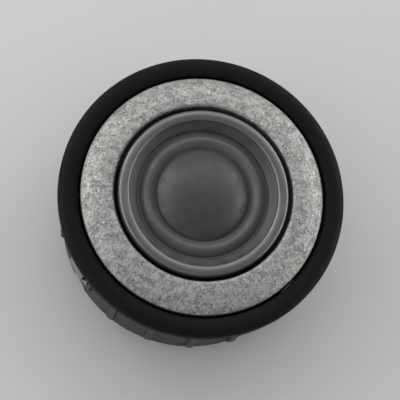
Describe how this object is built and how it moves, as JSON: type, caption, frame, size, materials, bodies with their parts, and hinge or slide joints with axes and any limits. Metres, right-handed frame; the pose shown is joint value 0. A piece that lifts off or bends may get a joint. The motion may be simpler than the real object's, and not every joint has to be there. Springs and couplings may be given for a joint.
{
  "type": "car dome tweeter",
  "caption": "Round flush-mount soft-dome tweeter with a pale textured ring; its ball-shaped head swivels and tilts in a black bezel and clip-in cup.",
  "frame": {"origin": "bottom centre: on the sound axis, in the plane of the mounting cup's rear rim", "axes": "+Z along the sound axis, out of the dome, so the tweeter lies on its back; +X along the tilt pins; +Y towards the coil's solder lugs"},
  "size_m": [0.08, 0.08, 0.0389],
  "materials": {
    "bezel_plastic": "fine matt black moulding",
    "gasket_foam": "closed-cell foam",
    "cup_plastic": "matt charcoal moulding",
    "spring_steel": "tempered spring steel",
    "rivet_aluminium": "plain",
    "nylon": "satin glass-filled nylon",
    "pin_steel": "ground",
    "silver_textured": "pale silver-grey coat with a fine grain",
    "faceplate_black": "satin black",
    "frame_plastic": "matt black moulding",
    "plated_steel": "zinc plated",
    "magnet_nickel": "nickel-plated sintered magnet",
    "felt": "wool felt",
    "black_screw": "black oxide",
    "brass": "tinned lightly",
    "wire_black": "PVC insulation",
    "wire_red": "PVC insulation",
    "dome_fabric": "dark grey coated fabric, slightly glossy",
    "surround_fabric": "dark grey coated fabric",
    "former_film": "amber film",
    "coil_copper": "enamelled copper wire"
  },
  "bodies": {
    "mount": {"trim_bezel": "bezel_plastic", "panel_gasket": "gasket_foam", "mounting_cup": "cup_plastic", "wave_washer": "spring_steel", "panel_clip_1": "spring_steel", "panel_clip_2": "spring_steel", "panel_clip_3": "spring_steel", "clip_rivet_1": "rivet_aluminium", "clip_rivet_2": "rivet_aluminium", "clip_rivet_3": "rivet_aluminium"},
    "swivel": {"swivel_ring": "nylon", "tilt_pin_left": "pin_steel", "tilt_pin_right": "pin_steel"},
    "head": {"face_ring": "silver_textured", "faceplate": "faceplate_black", "ball_housing": "nylon", "diaphragm_frame": "frame_plastic", "top_plate": "plated_steel", "magnet": "magnet_nickel", "yoke": "plated_steel", "dome_damper": "felt", "rear_chamber": "frame_plastic", "chamber_felt": "felt", "rear_cover": "frame_plastic", "terminal_block": "frame_plastic", "faceplate_screw_1": "black_screw", "faceplate_screw_2": "black_screw", "faceplate_screw_3": "black_screw", "rear_cover_screw_1": "black_screw", "rear_cover_screw_2": "black_screw", "rear_cover_screw_3": "black_screw", "terminal_negative": "brass", "terminal_positive": "brass", "coil_lug_negative": "brass", "coil_lug_positive": "brass", "lead_negative": "wire_black", "lead_positive": "wire_red"},
    "diaphragm": {"dome": "dome_fabric", "surround": "surround_fabric", "coil_former": "former_film", "coil_winding": "coil_copper"}
  },
  "joints": [
    {"name": "turn", "type": "hinge", "parent": "mount", "child": "swivel", "pos_m": [0, 0, 0.028], "axis": [0, 0, 1], "range_deg": [-170, 170]},
    {"name": "tilt", "type": "hinge", "parent": "swivel", "child": "head", "pos_m": [0, 0, 0.028], "axis": [1, 0, 0], "range_deg": [-15, 15]},
    {"name": "coil_slide", "type": "slide", "parent": "head", "child": "diaphragm", "axis": [0, 0, 1], "range_m": [-0.0004, 0.0004], "stiffness_N_per_m": 200}
  ]
}
